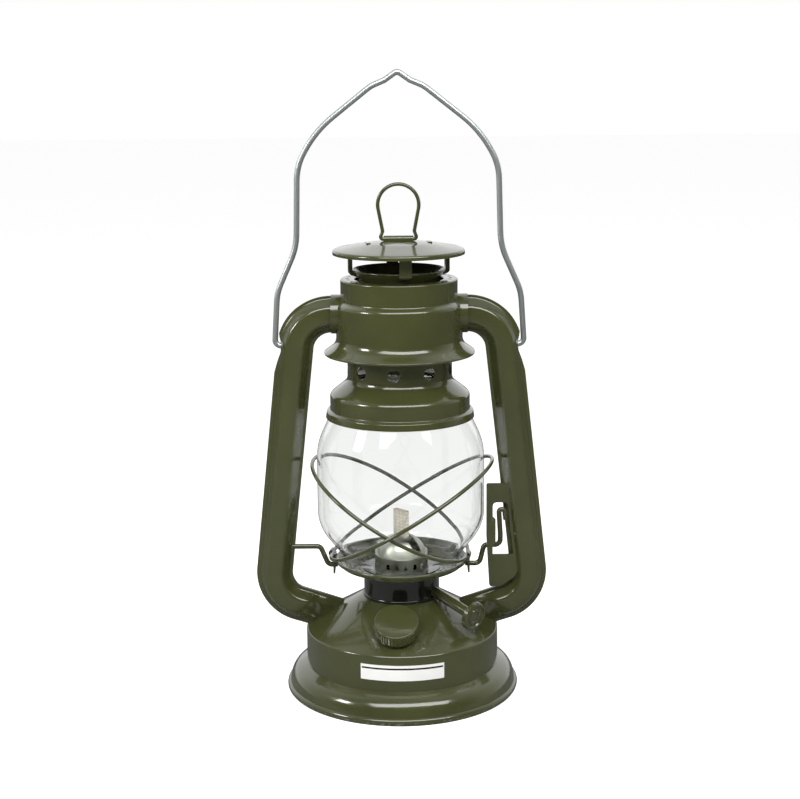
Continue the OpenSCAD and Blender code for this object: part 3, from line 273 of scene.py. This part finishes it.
# Blown soda glass: clear, with slow waves in its wall and a few small seeds that catch the light.
def blown_glass(colour):
    tree, shader, place = start_finish(
        "blown_clear_glass", Base_Color=tone(colour), Transmission_Weight=1.0, Roughness=0.0, IOR=1.32
    )
    wave = add_node(tree, "ShaderNodeTexNoise", {"Vector": place, "Scale": every(26), "Detail": 0})[0]
    cells = add_node(tree, "ShaderNodeTexVoronoi", {"Vector": place, "Scale": every(14)})["Distance"]
    bubble = {"Value": cells, "From Min": 0.05, "From Max": 0.02, "To Max": 0.15}
    seed = add_node(tree, "ShaderNodeMapRange", bubble)[0]
    wall = add_node(tree, "ShaderNodeMath", {0: wave, 1: seed}, operation="ADD")[0]
    bump = add_node(tree, "ShaderNodeBump", {"Height": wall, "Strength": 0.05, "Distance": MM})[0]
    feed(tree, shader, Normal=bump)


# Flat woven cotton: ribs up the wick crossed by finer threads, pale at the bottom and singed brown at the
# tip. The threads are drawn about twice as coarse as they are, so that they show.
def woven_cotton(colour, top):
    tree, shader, place = start_finish("woven_wick_cotton", Roughness=0.9, Sheen_Weight=0.3)
    turn = {"Vector": place, "Rotation": (0, 0, WICK_TURN)}
    flat = add_node(tree, "ShaderNodeMapping", turn)[0]
    rib = {"Vector": flat, "Scale": every(1.5) / math.tau, "Distortion": 0.6}
    ribs = add_node(tree, "ShaderNodeTexWave", rib)["Fac"]
    cross = {"Vector": flat, "Scale": every(0.9) / math.tau, "Distortion": 0.6}
    threads = add_node(tree, "ShaderNodeTexWave", cross, bands_direction="Z")["Fac"]
    weave = add_node(tree, "ShaderNodeMath", {0: ribs, 1: threads}, operation="MULTIPLY")[0]
    shades = {"Factor": weave, "A": tone(colour, 0.72), "B": tone(colour)}
    cloth = add_node(tree, "ShaderNodeMix", shades, data_type="RGBA")["Result"]
    height = add_node(tree, "ShaderNodeSeparateXYZ", {"Vector": place})["Z"]
    tip = {"Value": height, "From Min": top - 2.5 * MM, "From Max": top, "To Max": 0.35}
    singe = add_node(tree, "ShaderNodeMapRange", tip)[0]
    burnt = {"Factor": singe, "A": cloth, "B": tone(linear("#7a6a52"))}
    dyed = add_node(tree, "ShaderNodeMix", burnt, data_type="RGBA")["Result"]
    bump = add_node(tree, "ShaderNodeBump", {"Height": weave, "Strength": 0.5, "Distance": 0.3 * MM})[0]
    feed(tree, shader, Base_Color=dyed, Normal=bump)


# Printed label film: white, faintly mottled, with one plain black line.
def label_film(colour, ink, sizes):
    tree, shader, place = start_finish("printed_label_film", Roughness=0.35)
    axes = add_node(tree, "ShaderNodeSeparateXYZ", {"Vector": place})
    up = {0: axes["Z"], 1: sizes.line_height, 2: sizes.line_width / 2}
    level = add_node(tree, "ShaderNodeMath", up, operation="COMPARE")[0]
    along = {0: axes["X"], 1: 0, 2: sizes.line_length / 2}
    across = add_node(tree, "ShaderNodeMath", along, operation="COMPARE")[0]
    line = add_node(tree, "ShaderNodeMath", {0: level, 1: across}, operation="MULTIPLY")[0]
    mottle = add_node(tree, "ShaderNodeTexNoise", {"Vector": place, "Scale": every(6), "Detail": 3})[0]
    shades = {"Factor": mottle, "A": tone(colour, 0.95), "B": tone(colour, 1.02)}
    white = add_node(tree, "ShaderNodeMix", shades, data_type="RGBA")["Result"]
    printed = {"Factor": line, "A": white, "B": tone(ink)}
    marked = add_node(tree, "ShaderNodeMix", printed, data_type="RGBA")["Result"]
    ripple = add_node(tree, "ShaderNodeTexNoise", {"Vector": place, "Scale": every(2), "Detail": 3})[0]
    bump = add_node(tree, "ShaderNodeBump", {"Height": ripple, "Strength": 0.03, "Distance": 0.05 * MM})[0]
    feed(tree, shader, Base_Color=marked, Normal=bump)


# Moulded nitrile rubber: near black, dull, with a fine matt grain.
def gasket_rubber():
    tree, shader, place = start_finish("black_gasket_rubber", Roughness=0.7)
    grain = add_node(tree, "ShaderNodeTexNoise", {"Vector": place, "Scale": every(0.6), "Detail": 2})[0]
    shades = {"Factor": grain, "A": tone(linear("#1d1d1d")), "B": tone(linear("#303030"))}
    black = add_node(tree, "ShaderNodeMix", shades, data_type="RGBA")["Result"]
    bump = add_node(tree, "ShaderNodeBump", {"Height": grain, "Strength": 0.2, "Distance": 0.05 * MM})[0]
    feed(tree, shader, Base_Color=black, Normal=bump)


def make_finishes():
    """All the lantern's materials, under the names of their finishes."""
    finish = bpy.context.scene.lantern_finish
    enamel("gloss_olive_enamel", finish.olive, roughness=0.2)
    enamel("gloss_black_enamel", finish.black, roughness=0.14)
    tinplate("dull_tinplate", finish.tin, roughness=0.36, patch=7)
    tinplate("spring_steel", finish.tin, roughness=0.28, patch=3)
    zinc_wire(finish.zinc)
    blown_glass(finish.glass)
    woven_cotton(finish.cotton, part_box("wick")[1][2])
    label_film(finish.film, finish.ink, bpy.context.scene.lantern_sizes)
    gasket_rubber()


FINISH_OF = {
    "olive_enamel": "gloss_olive_enamel",
    "black_enamel": "gloss_black_enamel",
    "tinplate": "dull_tinplate",
    "galvanised_wire": "galvanised_wire",
    "spring_steel": "spring_steel",
    "clear_glass": "blown_clear_glass",
    "wick_cotton": "woven_wick_cotton",
    "label_film": "printed_label_film",
    "gasket_rubber": "black_gasket_rubber",
}


# Pieces


def place_piece(name, bm, slot, body, sharp=32):
    """Makes a bmesh an object on a body, with its slot's finish, shaded smooth up to the sharp angle."""
    for face in bm.faces:
        face.smooth = True
    for edge in bm.edges:
        edge.smooth = len(edge.link_faces) == 2 and edge.calc_face_angle(0) < math.radians(sharp)
    mesh = bpy.data.meshes.new(name)
    bm.to_mesh(mesh)
    bm.free()
    piece = bpy.data.objects.new(name, mesh)
    bpy.context.scene.collection.objects.link(piece)
    mesh.materials.append(bpy.data.materials[FINISH_OF[slot]])
    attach(piece, body)
    return piece


def node_mesh(node):
    """A merged copy of a CAD node's mesh."""
    bm = bmesh.new()
    bm.from_mesh(frame["nodes"][node].data)
    bmesh.ops.remove_doubles(bm, verts=bm.verts, dist=0.002 * MM)
    return bm


def body_of(node):
    """The body that a CAD node rides on."""
    return frame["nodes"][node]["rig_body"]


def smooth_copies(*nodes):
    """Merged copies of CAD nodes, shaded smooth, that stand for the nodes."""
    for node in nodes:
        piece = place_piece(node + "_piece", node_mesh(node), SLOT_OF[node], body_of(node))
        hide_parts(node)


class LANTERN_OT_fount(bpy.types.Operator):
    """Flared foot, pan and domed shell of the fount"""

    bl_idname = "lantern.fount"
    bl_label = "Fount"

    def execute(self, context):
        smooth_copies("fount_foot", "fount_bottom", "fount_shell")
        return {"FINISHED"}


class LANTERN_OT_label(bpy.types.Operator):
    """White film with the fill line"""

    bl_idname = "lantern.label"
    bl_label = "Label"

    def execute(self, context):
        smooth_copies("fill_label")
        return {"FINISHED"}


class LANTERN_OT_filler(bpy.types.Operator):
    """Filler neck, gasket and knurled cap"""

    bl_idname = "lantern.filler"
    bl_label = "Filler"

    def execute(self, context):
        smooth_copies("filler_neck", "filler_gasket", "filler_cap")
        return {"FINISHED"}


class LANTERN_OT_burner(bpy.types.Operator):
    """Collar, drum, flame cone and wick tube"""

    bl_idname = "lantern.burner"
    bl_label = "Burner"

    def execute(self, context):
        smooth_copies("burner_collar", "burner_drum", "flame_cone", "wick_tube")
        return {"FINISHED"}


class LANTERN_OT_wick(bpy.types.Operator):
    """Flat cotton wick"""

    bl_idname = "lantern.wick"
    bl_label = "Wick"

    def execute(self, context):
        smooth_copies("wick")
        return {"FINISHED"}


class LANTERN_OT_raiser(bpy.types.Operator):
    """Sleeve, shaft, feed wheels and knob"""

    bl_idname = "lantern.raiser"
    bl_label = "Wick raiser"

    def execute(self, context):
        smooth_copies("knob_sleeve", "wick_shaft", "feed_wheels", "wick_knob")
        return {"FINISHED"}


def tube_profile(bm, sizes, start):
    """Section of a tube pressed from two halves, with a flat front and back and a folded seam each side.

    It stands across the top run, at x = start, and the loop of its edges is returned.
    """
    root_share = 0.68
    root_swell = 1.1
    crown = 1.01
    front_round = 1.3 * MM
    root_round = 0.7 * MM
    near = 0.1 * MM
    half = sizes.tube_width / 2
    seam = sizes.seam / 2
    depth = sizes.tube_depth
    flat = sizes.tube_flat / 2
    root = flat + root_share * (half - flat)
    corner = [(half, seam), (root, seam * root_swell), (flat, depth)]
    plain = [(flat * 0.5, depth), (0, depth * crown), (-flat * 0.5, depth)]
    front = corner + plain + [(-u, v) for u, v in reversed(corner)]
    back = [(-u, -v) for u, v in front]
    middle = sizes.tube_level
    loop = [bm.verts.new((start, v, middle + u)) for u, v in front + back]
    for a, b in zip(loop, loop[1:] + loop[:1]):
        bm.edges.new((a, b))
    fronts = [v for v in loop if abs(abs(v.co.z - middle) - flat) < near]
    roots = [v for v in loop if abs(abs(v.co.z - middle) - root) < near]
    for corners, size in ((fronts, front_round), (roots, root_round)):
        bmesh.ops.bevel(
            bm, geom=corners, offset=size, segments=4, profile=0.5, affect="VERTICES", material=-1
        )
    return bm.edges[:]


def pull(bm, edges, way):
    """Extrudes a loop of edges along a straight way and returns the new loop."""
    made = bmesh.ops.extrude_edge_only(bm, edges=edges)["geom"]
    bmesh.ops.translate(bm, verts=[v for v in made if isinstance(v, bmesh.types.BMVert)], vec=way)
    return [e for e in made if isinstance(e, bmesh.types.BMEdge)]


def swing(bm, edges, centre, angle, steps):
    """Spins a loop of edges round an axis along Y and returns the last loop."""
    verts = list(dict.fromkeys(v for e in edges for v in e.verts))
    made = bmesh.ops.spin(
        bm, geom=edges + verts, cent=centre, axis=(0, 1, 0), angle=angle, steps=steps, use_merge=False
    )
    return [e for e in made["geom_last"] if isinstance(e, bmesh.types.BMEdge)]


def settle_order(bm):
    """Puts edges and faces in their vertices' order, because extruding leaves them in a chance order."""
    bm.verts.index_update()
    count = len(bm.verts)
    for parts in (bm.edges, bm.faces):
        lowest = {part: sorted(v.index for v in part.verts) for part in parts}
        parts.sort(key=lambda part: lowest[part][0] * count + lowest[part][1])


def hollow_seam(bm, sizes, pivot):
    """Presses the outer seam in beside the bail's foot, in a round hollow."""
    radius = 15.4 * MM
    land = 0.3 * MM
    centre = pivot.x + sizes.tube_depth + land + radius
    for vert in bm.verts:
        rise = vert.co.z - pivot.z
        if abs(rise) < radius and abs(vert.co.y) < sizes.seam:
            edge = centre - math.sqrt(radius**2 - rise**2)
            if vert.co.x > edge:
                vert.co.x = edge


def press_flat(bm, sizes):
    """Presses the lower end flat towards the fount, with a crease down its middle."""
    thinnest = 0.2
    reach = 75 * MM
    crease_at = 12 * MM
    crease_width = 2.6 * MM
    crease_depth = 0.38
    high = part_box("fount_shell")[1]
    edge = Vector((high[0], 0, DOME_EDGE_LEVEL))
    top = Vector((DOME_TOP_RADIUS, 0, high[2]))
    along = (top - edge).normalized()
    up = Vector((along.z, 0, -along.x))
    for vert in bm.verts:
        gap = (vert.co - edge).dot(up)
        if gap > sizes.pinch or vert.co.z > reach:
            continue
        share = max(0, min(1, gap / sizes.pinch))
        smooth = share * share * (3 - 2 * share)
        middle = (vert.co - edge).dot(along)
        crease = math.exp(-(((middle - crease_at) / crease_width) ** 2)) * 4 * share * (1 - share)
        vert.co.y *= (thinnest + (1 - thinnest) * smooth) * (1 - crease_depth * crease)


def pressed_tube(sizes, side):
    """One air tube from the chamber to the fount, on the +X side or, mirrored, on the -X side."""
    top_steps = 20
    low_steps = 24
    # The rings of the straight run stand closer at its top, beside the bail's foot
    straight_shares = (0.03, 0.04, 0.05, 0.3, 0.3, 0.28)
    end_steps = 20
    end_step_mm = 1.1
    bm = bmesh.new()
    level = sizes.tube_level
    lean = sizes.lean
    drop = level - TUBE_CORNER_LEVEL
    corner = sizes.tube_foot - drop * math.tan(lean)
    turn = math.pi / 2 - lean
    tangent = sizes.top_bend * math.tan(turn / 2)
    loop = tube_profile(bm, sizes, TUBE_START)
    loop = pull(bm, loop, (corner - tangent - TUBE_START, 0, 0))
    loop = swing(bm, loop, (corner - tangent, 0, level - sizes.top_bend), turn, top_steps)
    down = Vector((math.sin(lean), 0, -math.cos(lean)))
    low_turn = math.pi / 2 - sizes.fall + lean
    low_tangent = sizes.low_bend * math.tan(low_turn / 2)
    length = drop / math.cos(lean) - tangent - low_tangent
    for share in straight_shares:
        loop = pull(bm, loop, down * length * share)
    bend_at = Vector((sizes.tube_foot, 0, TUBE_CORNER_LEVEL)) - down * low_tangent
    inward = Vector((-math.cos(lean), 0, -math.sin(lean)))
    loop = swing(bm, loop, bend_at + inward * sizes.low_bend, low_turn, low_steps)
    run = Vector((-math.cos(sizes.fall), 0, -math.sin(sizes.fall)))
    for _ in range(end_steps):
        loop = pull(bm, loop, run * end_step_mm * MM)
    pivot_x = sizes.tube_foot - (BAIL_LEVEL - TUBE_CORNER_LEVEL) * math.tan(lean)
    pivot = Vector((pivot_x, 0, BAIL_LEVEL))
    hollow_seam(bm, sizes, pivot)
    press_flat(bm, sizes)
    if side < 0:
        bmesh.ops.scale(bm, vec=(-1, 1, 1), verts=bm.verts)
    bmesh.ops.recalc_face_normals(bm, faces=bm.faces)
    settle_order(bm)
    return bm


class LANTERN_OT_tubes(bpy.types.Operator):
    """Two pressed air tubes with folded seams, and their ferrules"""

    bl_idname = "lantern.tubes"
    bl_label = "Air tubes"

    def execute(self, context):
        sizes = context.scene.lantern_sizes
        for node, side in (("left_air_tube", -1), ("right_air_tube", 1)):
            bm = pressed_tube(sizes, side)
            piece = place_piece(node + "_piece", bm, SLOT_OF[node], body_of(node), sharp=40)
            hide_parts(node)
        smooth_copies("tube_ferrules")
        return {"FINISHED"}


class LANTERN_OT_chamber(bpy.types.Operator):
    """Air chamber and its perforated lid"""

    bl_idname = "lantern.chamber"
    bl_label = "Air chamber"

    def execute(self, context):
        smooth_copies("air_chamber", "chamber_top")
        return {"FINISHED"}


class LANTERN_OT_lever(bpy.types.Operator):
    """Lever plate, lifting lever and lifting arm"""

    bl_idname = "lantern.lever"
    bl_label = "Globe lever"

    def execute(self, context):
        smooth_copies("lever_plate", "lift_lever", "lift_arm")
        return {"FINISHED"}


class LANTERN_OT_carriage(bpy.types.Operator):
    """Perforated globe plate and the two guard rings"""

    bl_idname = "lantern.carriage"
    bl_label = "Globe carriage"

    def execute(self, context):
        smooth_copies("globe_plate", "inner_guard_ring", "outer_guard_ring")
        return {"FINISHED"}


class LANTERN_OT_globe(bpy.types.Operator):
    """Blown glass globe"""

    bl_idname = "lantern.globe"
    bl_label = "Globe"

    def execute(self, context):
        smooth_copies("glass_globe")
        return {"FINISHED"}


class LANTERN_OT_hood(bpy.types.Operator):
    """Hood with its draught holes, chimney and spring"""

    bl_idname = "lantern.hood"
    bl_label = "Hood and chimney"

    def execute(self, context):
        smooth_copies("hood", "chimney")
        # The spring bears on the chamber's lid and the hood presses on it; it stays with the frame and gets
        # a mesh of its own
        coil = place_piece("hood_spring_piece", node_mesh("hood_spring"), SLOT_OF["hood_spring"], "frame")
        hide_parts("hood_spring")
        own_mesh(coil)
        return {"FINISHED"}


class LANTERN_OT_crown(bpy.types.Operator):
    """Crown, its legs and the top cap with its tabs"""

    bl_idname = "lantern.crown"
    bl_label = "Crown and cap"

    def execute(self, context):
        smooth_copies("crown", "crown_legs", "top_cap", "cap_tabs")
        return {"FINISHED"}


class LANTERN_OT_ring(bpy.types.Operator):
    """Lift ring and its lug"""

    bl_idname = "lantern.ring"
    bl_label = "Lift ring"

    def execute(self, context):
        smooth_copies("ring_lug", "lift_ring")
        return {"FINISHED"}


class LANTERN_OT_bail(bpy.types.Operator):
    """Wire bail"""

    bl_idname = "lantern.bail"
    bl_label = "Bail"

    def execute(self, context):
        smooth_copies("bail")
        return {"FINISHED"}


# Studio


def make_world(scene):
    """White for what looks at it or through glass, with a dim front for gloss, and a low even light."""
    studio = scene.lantern_studio
    world = bpy.data.worlds.new("white_studio")
    world.use_nodes = True
    tree = world.node_tree
    path = add_node(tree, "ShaderNodeLightPath")
    rays = {0: path["Is Camera Ray"], 1: path["Is Transmission Ray"]}
    seen = add_node(tree, "ShaderNodeMath", rays, operation="ADD")[0]
    way = add_node(tree, "ShaderNodeTexCoord")["Generated"]
    back = add_node(tree, "ShaderNodeSeparateXYZ", {"Vector": way})["Y"]
    depth = {"Value": back, "From Min": -0.4, "From Max": 0.7, "To Min": studio.front, "To Max": 1}
    gloss = add_node(tree, "ShaderNodeMapRange", depth)[0]
    unseen = {"Factor": path["Is Glossy Ray"], "A": studio.room, "B": gloss}
    soft = add_node(tree, "ShaderNodeMix", unseen)["Result"]
    level = add_node(tree, "ShaderNodeMix", {"Factor": seen, "A": soft, "B": 1.0})["Result"]
    tree.links.new(level, tree.nodes["Background"].inputs["Strength"])
    tree.nodes["Background"].inputs["Color"].default_value = (1, 1, 1, 1)
    scene.world = world


# White paper: matt, lit up for what looks straight at it, so that it stays white and keeps a soft shadow,
# and dim in the gloss of the enamel, which keeps its depth.
def make_floor(scene):
    """A wide white floor."""
    half_width = 6
    lit = 0.8
    paper = (0.9, 0.9, 0.9, 1)
    dim = (0.2, 0.2, 0.2, 1)
    bm = bmesh.new()
    bmesh.ops.create_grid(bm, x_segments=1, y_segments=1, size=half_width)
    mesh = bpy.data.meshes.new("studio_floor")
    bm.to_mesh(mesh)
    bm.free()
    floor = bpy.data.objects.new("studio_floor", mesh)
    scene.collection.objects.link(floor)
    tree, shader = start_finish("white_paper", Roughness=0.9)[:2]
    shader.inputs["Emission Color"].default_value = (1, 1, 1, 1)
    path = add_node(tree, "ShaderNodeLightPath")
    rays = {0: path["Is Camera Ray"], 1: path["Is Transmission Ray"]}
    seen = add_node(tree, "ShaderNodeMath", rays, operation="MAXIMUM")[0]
    glow = add_node(tree, "ShaderNodeMath", {0: seen, 1: lit}, operation="MULTIPLY")[0]
    shades = {"Factor": path["Is Glossy Ray"], "A": paper, "B": dim}
    white = add_node(tree, "ShaderNodeMix", shades, data_type="RGBA")["Result"]
    feed(tree, shader, Base_Color=white, Emission_Strength=glow)
    mesh.materials.append(bpy.data.materials["white_paper"])


def softbox(scene, name, place, size, power):
    """An area light that looks at the middle of the lantern."""
    light = bpy.data.lights.new(name, "AREA")
    light.shape = "RECTANGLE"
    light.size, light.size_y = size
    light.energy = power
    lamp = bpy.data.objects.new(name, light)
    scene.collection.objects.link(lamp)
    middle = Vector((0, 0, 0.15))
    aim = (middle - Vector(place)).to_track_quat("-Z", "Y")
    lamp.matrix_world = Matrix.Translation(place) @ aim.to_matrix().to_4x4()


class LANTERN_OT_studio(bpy.types.Operator):
    """White floor, world, softboxes and the camera"""

    bl_idname = "lantern.studio"
    bl_label = "Studio"

    def execute(self, context):
        scene = context.scene
        studio = scene.lantern_studio
        scene.view_settings.view_transform = "Standard"
        make_world(scene)
        make_floor(scene)
        softbox(scene, "top_softbox", place=(0.1, -0.6, 0.85), size=(1.3, 0.4), power=studio.key)
        softbox(scene, "left_softbox", place=(-0.8, -0.35, 0.55), size=(0.22, 0.22), power=studio.fill)
        camera = bpy.data.cameras.new("photo_camera")
        camera.lens = studio.lens
        camera.sensor_width = 36
        camera.clip_end = 20
        taker = bpy.data.objects.new("photo_camera", camera)
        scene.collection.objects.link(taker)
        aim = Matrix.Rotation(math.pi / 2 - studio.pitch, 4, "X") @ Matrix.Rotation(studio.roll, 4, "Z")
        taker.matrix_world = Matrix.Translation((0, -studio.distance, studio.height)) @ aim
        scene.camera = taker
        return {"FINISHED"}


OPERATORS = (
    LANTERN_OT_fount,
    LANTERN_OT_label,
    LANTERN_OT_filler,
    LANTERN_OT_burner,
    LANTERN_OT_wick,
    LANTERN_OT_raiser,
    LANTERN_OT_tubes,
    LANTERN_OT_chamber,
    LANTERN_OT_lever,
    LANTERN_OT_carriage,
    LANTERN_OT_globe,
    LANTERN_OT_hood,
    LANTERN_OT_crown,
    LANTERN_OT_ring,
    LANTERN_OT_bail,
    LANTERN_OT_studio,
)


class LANTERN_PT_build(bpy.types.Panel):
    """Buttons for the lantern's pieces and its studio"""

    bl_idname = "LANTERN_PT_build"
    bl_label = "Kerosene lantern"
    bl_space_type = "VIEW_3D"
    bl_region_type = "UI"
    bl_category = "Lantern"

    def draw(self, context):
        for kind in OPERATORS:
            self.layout.operator(kind.bl_idname)


GROUPS = {"lantern_finish": LanternFinish, "lantern_sizes": LanternSizes, "lantern_studio": LanternStudio}


def register():
    for kind in (*GROUPS.values(), *OPERATORS, LANTERN_PT_build):
        bpy.utils.register_class(kind)
    for name, kind in GROUPS.items():
        setattr(bpy.types.Scene, name, bpy.props.PointerProperty(type=kind))


def unregister():
    for name in GROUPS:
        delattr(bpy.types.Scene, name)
    for kind in (LANTERN_PT_build, *reversed(OPERATORS), *GROUPS.values()):
        bpy.utils.unregister_class(kind)


def main():
    register()
    for name in ("Cube", "Light", "Camera"):
        if name in bpy.data.objects:
            bpy.data.objects.remove(bpy.data.objects[name])
    make_finishes()
    bpy.ops.lantern.fount()
    bpy.ops.lantern.label()
    bpy.ops.lantern.filler()
    bpy.ops.lantern.burner()
    bpy.ops.lantern.wick()
    bpy.ops.lantern.raiser()
    bpy.ops.lantern.tubes()
    bpy.ops.lantern.chamber()
    bpy.ops.lantern.lever()
    bpy.ops.lantern.carriage()
    bpy.ops.lantern.globe()
    bpy.ops.lantern.hood()
    bpy.ops.lantern.crown()
    bpy.ops.lantern.ring()
    bpy.ops.lantern.bail()
    bpy.ops.lantern.studio()


if __name__ == "__main__":
    main()
